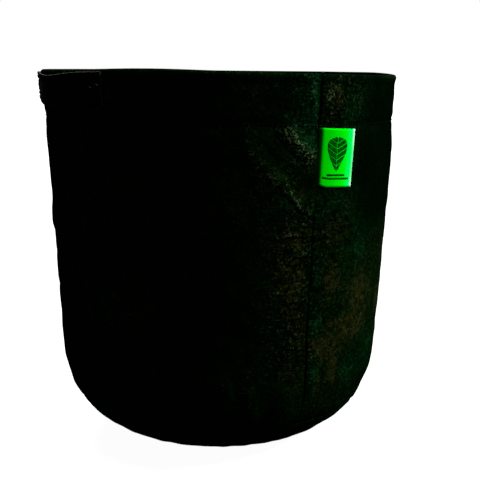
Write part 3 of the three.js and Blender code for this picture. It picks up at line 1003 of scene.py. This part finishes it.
class Nodes:
    """A short way to lay out a material's nodes."""

    def __init__(self, material):
        self.tree = material.node_tree
        self.shader = self.tree.nodes["Principled BSDF"]

    def put(self, value, socket):
        """Link another node's output to a socket, or set the socket's own value."""
        if isinstance(value, bpy.types.NodeSocket):
            self.tree.links.new(value, socket)
        else:
            socket.default_value = (*value, 1) if socket.type == "RGBA" else value

    def add(self, kind, inputs=None, **settings):
        node = self.tree.nodes.new("ShaderNode" + kind)
        for name, value in settings.items():
            setattr(node, name, value)
        for name, value in (inputs or {}).items():
            self.put(value, node.inputs[name])
        return node

    def noise(self, coordinates, size, detail=2.0, rough=0.5, distortion=0.0, kind="FBM"):
        inputs = {
            "Vector": coordinates, "Scale": 1 / size, "Detail": detail, "Roughness": rough,
            "Distortion": distortion,
        }
        return self.add("TexNoise", inputs, noise_type=kind).outputs["Fac"]

    def ramp(self, value, low, high, to_low=0.0, to_high=1.0):
        inputs = {"Value": value, "From Min": low, "From Max": high, "To Min": to_low, "To Max": to_high}
        return self.add("MapRange", inputs, interpolation_type="SMOOTHSTEP").outputs["Result"]

    def mix(self, amount, low, high):
        return self.add("Mix", {0: amount, 6: low, 7: high}, data_type="RGBA").outputs[2]

    def maths(self, operation, a, b=0.0):
        return self.add("Math", {0: a, 1: b}, operation=operation).outputs[0]

    def plus(self, a, b):
        return self.maths("ADD", a, b)

    def times(self, a, b):
        return self.maths("MULTIPLY", a, b)

    def kept(self, name):
        """A value kept on the mesh's points."""
        return self.add("Attribute", attribute_name=name).outputs["Fac"]

    def place(self):
        return self.add("TexCoord").outputs["Object"]

    def pattern(self):
        """The mesh's UV map, and its two values by themselves."""
        uv = self.add("UVMap").outputs["UV"]
        split = self.add("SeparateXYZ", {0: uv})
        return uv, split.outputs["X"], split.outputs["Y"]

    def colour(self, tone):
        self.put(tone, self.shader.inputs["Base Color"])

    def bump(self, height, distance, strength=1.0):
        inputs = {"Height": height, "Distance": distance, "Strength": strength}
        self.put(self.add("Bump", inputs).outputs["Normal"], self.shader.inputs["Normal"])

    def shine(self, roughness, specular):
        self.shader.inputs["Roughness"].default_value = roughness
        self.shader.inputs["Specular IOR Level"].default_value = specular


def look_felt():
    n = Nodes(felt)
    place = n.place()
    fine = n.noise(place, 2.2 * MM, 3, 0.65, 0.6)
    strands = n.noise(place, 3.4 * MM, 3, 0.6, 1.2, "RIDGED_MULTIFRACTAL")
    mottle = n.noise(place, 10 * MM, 6, 0.74)
    grain = n.noise(place, 5.5 * MM, 4, 0.65, 0.8)
    clouds = n.noise(place, 60 * MM, 2, 0.5)
    patches = n.add("Attribute", attribute_name="patches").outputs["Color"]
    dusty, teal, dark = n.add("SeparateColor", {0: patches}).outputs
    crumple, crest_highlight = n.kept("crumple"), n.kept("crest_highlight")
    broken = n.maths("SUBTRACT", n.plus(n.times(mottle, 2.7), fine), 1.85)

    def amount(patch, low, high):
        return n.ramp(n.plus(patch, broken), low, high)

    tone = n.mix(n.ramp(clouds, 0.38, 0.62), (0.0003, 0.0056, 0.0006), (0.0010, 0.0060, 0.0006))
    tone = n.mix(amount(teal, 0.15, 1.05), tone, (0.0005, 0.0215, 0.0042))
    tone = n.mix(amount(dusty, 0.15, 1.05), tone, (0.0116, 0.0136, 0.0028))
    # darker by the dark channel: the dark patches, and the painted shade on the inner faces
    tone = n.mix(amount(dark, 0.0, 1.3), tone, (0.0001, 0.0016, 0.0003))
    tone = n.mix(n.ramp(grain, 0.60, 0.39, 0.0, 0.8), tone, (0.0001, 0.0022, 0.0003))
    # painted highlight: the fold crests are painted paler, broken up by the mottle
    painted_crest_light = n.times(n.ramp(mottle, 0.40, 0.62), crest_highlight)
    tone = n.mix(n.times(painted_crest_light, 0.7), tone, (0.0080, 0.0300, 0.0100))
    # painted shade: the low points of the felt's grain are painted darker, more so where it is crumpled
    pit_shade = n.times(n.ramp(fine, 0.54, 0.36), n.plus(n.times(crumple, 0.6), 0.35))
    tone = n.mix(pit_shade, tone, (0.0, 0.0006, 0.0))
    fleck = n.mix(teal, (0.050, 0.070, 0.024), (0.024, 0.100, 0.056))
    # on the fold crests the flecks are paler and denser: more painted highlight
    fleck = n.mix(crest_highlight, fleck, (0.115, 0.140, 0.058))
    lively = n.plus(n.times(crumple, 0.38), 0.16)
    lively = n.plus(lively, n.times(dusty, 0.16))
    lively = n.plus(lively, n.times(crest_highlight, 0.6))
    lively = n.times(lively, n.ramp(dark, 0.1, 1.0, 1.0, 0.15))
    tops = n.ramp(n.plus(fine, n.times(crest_highlight, 0.07)), 0.57, 0.70)
    n.colour(n.mix(n.times(tops, lively), tone, fleck))

    flat = n.add("UVMap").outputs["UV"]
    drawn = n.add("Mapping", {"Vector": flat, "Scale": (0.17, 1, 1)}).outputs["Vector"]
    wrinkles = n.noise(drawn, 2.5 * MM, 2, 0.5, 0.35)
    drawn_up = n.times(crumple, n.ramp(mottle, 0.36, 0.60, 0.5, 1.2))
    height = n.plus(n.times(strands, 0.45), n.times(fine, 0.65))
    height = n.plus(height, n.times(grain, 0.5))
    height = n.plus(height, n.times(n.times(wrinkles, drawn_up), 4.2))
    n.bump(height, 1.5 * MM, 0.9)
    n.shine(1.0, 0.0)


def look_webbing():
    n = Nodes(webbing)
    uv, along, across = n.pattern()
    along = n.maths("SINE", n.times(along, TAU / (1.5 * MM)))
    across = n.maths("SINE", n.times(across, TAU / (1.9 * MM)))
    weave = n.times(n.plus(n.times(along, 0.5), across), 0.5)
    n.bump(weave, 0.35 * MM)
    fuzz = n.noise(uv, 4 * MM, 3, 0.6)
    tone = n.mix(n.ramp(fuzz, 0.35, 0.65), (0.0010, 0.0013, 0.0011), (0.0030, 0.0036, 0.0031))
    # painted shade: the gaps between the ribs are painted darker than the ribs
    n.colour(n.mix(n.ramp(weave, 0.1, -0.5), tone, (0.0004, 0.0006, 0.0004)))
    n.shine(0.7, 0.008)


def look_thread():
    n = Nodes(thread)
    place = n.place()
    strands = n.noise(place, 0.8 * MM, 1, 0.5)
    tone = n.mix(n.ramp(strands, 0.35, 0.65), (0.0003, 0.0012, 0.0004), (0.0010, 0.0036, 0.0014))
    pale = n.times(n.kept("pale"), n.ramp(n.noise(place, 9 * MM, 1), 0.5, 0.66))
    n.colour(n.mix(pale, tone, (0.012, 0.060, 0.042)))
    n.shine(0.8, 0.01)


def look_label():
    n = Nodes(label_cloth)
    uv, along, down = n.pattern()
    # the ribbon's own green, painted brighter towards the fold: painted light where the ribbon turns
    # towards the lamp
    tone = n.mix(n.ramp(along, 3 * MM, LABEL_WIDTH), (0.0, 0.60, 0.0004), (0.0, 0.98, 0.004))
    # painted highlight: cyan towards the fold
    tone = n.mix(n.ramp(along, LABEL_WIDTH - 9 * MM, LABEL_WIDTH - 1 * MM), tone, (0.0, 0.98, 0.15))
    # painted highlight along the fold: white, widest near the top and bottom of the label
    light = n.plus(n.ramp(down, 6 * MM, 16 * MM, 1.0, 0.3), n.ramp(down, 33 * MM, 41 * MM, 0.0, 0.6))
    fold = n.ramp(along, LABEL_WIDTH - 2.6 * MM, LABEL_WIDTH - 0.6 * MM)
    tone = n.mix(n.times(fold, light), tone, (0.52, 1.0, 0.70))
    # painted shade where the ribbon comes out of the seam
    n.colour(n.mix(n.ramp(along, 6 * MM, 0.2 * MM), tone, (0.0, 0.05, 0.0005)))
    n.bump(n.noise(uv, 0.9 * MM, 1, 0.5), 0.12 * MM)
    n.shine(0.7, 0.0)


def look_spotted(material, size, edges, low, high, roughness, specular):
    """One colour with soft spots of another."""
    n = Nodes(material)
    n.colour(n.mix(n.ramp(n.noise(n.place(), size), *edges), low, high))
    n.shine(roughness, specular)


# ---- The bag ----


def add_bag():
    wall = add_wall()
    base = add_base()
    edges = [add_seam_edge(-1), add_seam_edge(1)]
    for side, name in ((-1, "handle_left"), (1, "handle_right")):
        add_handle(side, name)
    add_hem_stitches()
    add_seam_stitches()
    for side, hand in ((-1, "left"), (1, "right")):
        for end, place in ((1, "front"), (-1, "rear")):
            add_box_stitches(side, end, f"box_stitch_{hand}_{place}")
    label = add_label()
    add_leaf()


add_bag()
look_felt()
look_webbing()
look_thread()
look_label()
# the melted bead is painted lighter than the webbing: partly its own colour, partly a painted highlight
# that stands in for a glint on its edge
look_spotted(sealed, 3 * MM, (0.42, 0.62), (0.004, 0.004, 0.004), (0.020, 0.021, 0.020), 0.6, 0.03)
# the thread tail's pale colour is partly its own, partly a painted highlight that stands in for a glint
# on the knot
look_spotted(pale_glint_thread, 3 * MM, (0.42, 0.62), (0.004, 0.012, 0.009), (0.16, 0.19, 0.18), 0.6, 0.03)
look_spotted(label_print, 1.2 * MM, (0.3, 0.7), (0.0, 0.035, 0.001), (0.0, 0.13, 0.004), 0.7, 0.0)

# ---- Stage, light ----


FLOOR_REACH = 40
FILL_LIGHT = 0.08  # how strongly the white surroundings light the bag


def add_floor():
    material = new_material("floor")
    inputs = material.node_tree.nodes["Principled BSDF"].inputs
    inputs["Base Color"].default_value = (0.1, 0.1, 0.1, 1)
    inputs["Roughness"].default_value = 0.9
    inputs["Emission Color"].default_value = (1, 1, 1, 1)
    inputs["Emission Strength"].default_value = 0.97
    mesh = bpy.data.meshes.new("floor")
    corners = [(x * FLOOR_REACH, y * FLOOR_REACH, 0) for x, y in ((-1, -1), (1, -1), (1, 1), (-1, 1))]
    mesh.from_pydata(corners, [], [(0, 1, 2, 3)])
    mesh.materials.append(material)
    floor = add_object("floor", mesh)
    floor.visible_diffuse = False
    floor.visible_glossy = False


def add_sun(name, azimuth, elevation, strength, spread):
    """A sun lamp. Its azimuth is in degrees from the front, towards +X."""
    light = bpy.data.lights.new(name, "SUN")
    light.energy = strength
    light.angle = math.radians(spread)
    lamp = add_object(name, light)
    a, e = math.radians(azimuth), math.radians(elevation)
    towards = Vector((math.sin(a) * math.cos(e), -math.cos(a) * math.cos(e), math.sin(e)))
    lamp.rotation_mode = "QUATERNION"
    lamp.rotation_quaternion = towards.to_track_quat("Z", "Y")


def add_world():
    """White surroundings, which light the bag much less than they show."""
    world = bpy.data.worlds.new("world")
    bpy.context.scene.world = world
    world.use_nodes = True
    tree = world.node_tree
    background = tree.nodes["Background"]
    background.inputs["Color"].default_value = (1, 1, 1, 1)
    seen = tree.nodes.new("ShaderNodeLightPath")
    strength = tree.nodes.new("ShaderNodeMapRange")
    strength.inputs["To Min"].default_value = FILL_LIGHT
    tree.links.new(seen.outputs["Is Camera Ray"], strength.inputs["Value"])
    tree.links.new(strength.outputs["Result"], background.inputs["Strength"])


add_floor()
add_sun("key", 60, 36, 6.2, 14)
add_sun("back", 162, 38, 6.0, 30)
add_sun("top", 0, 88, 2.0, 10)
add_world()
bpy.context.scene.view_settings.view_transform = "Standard"
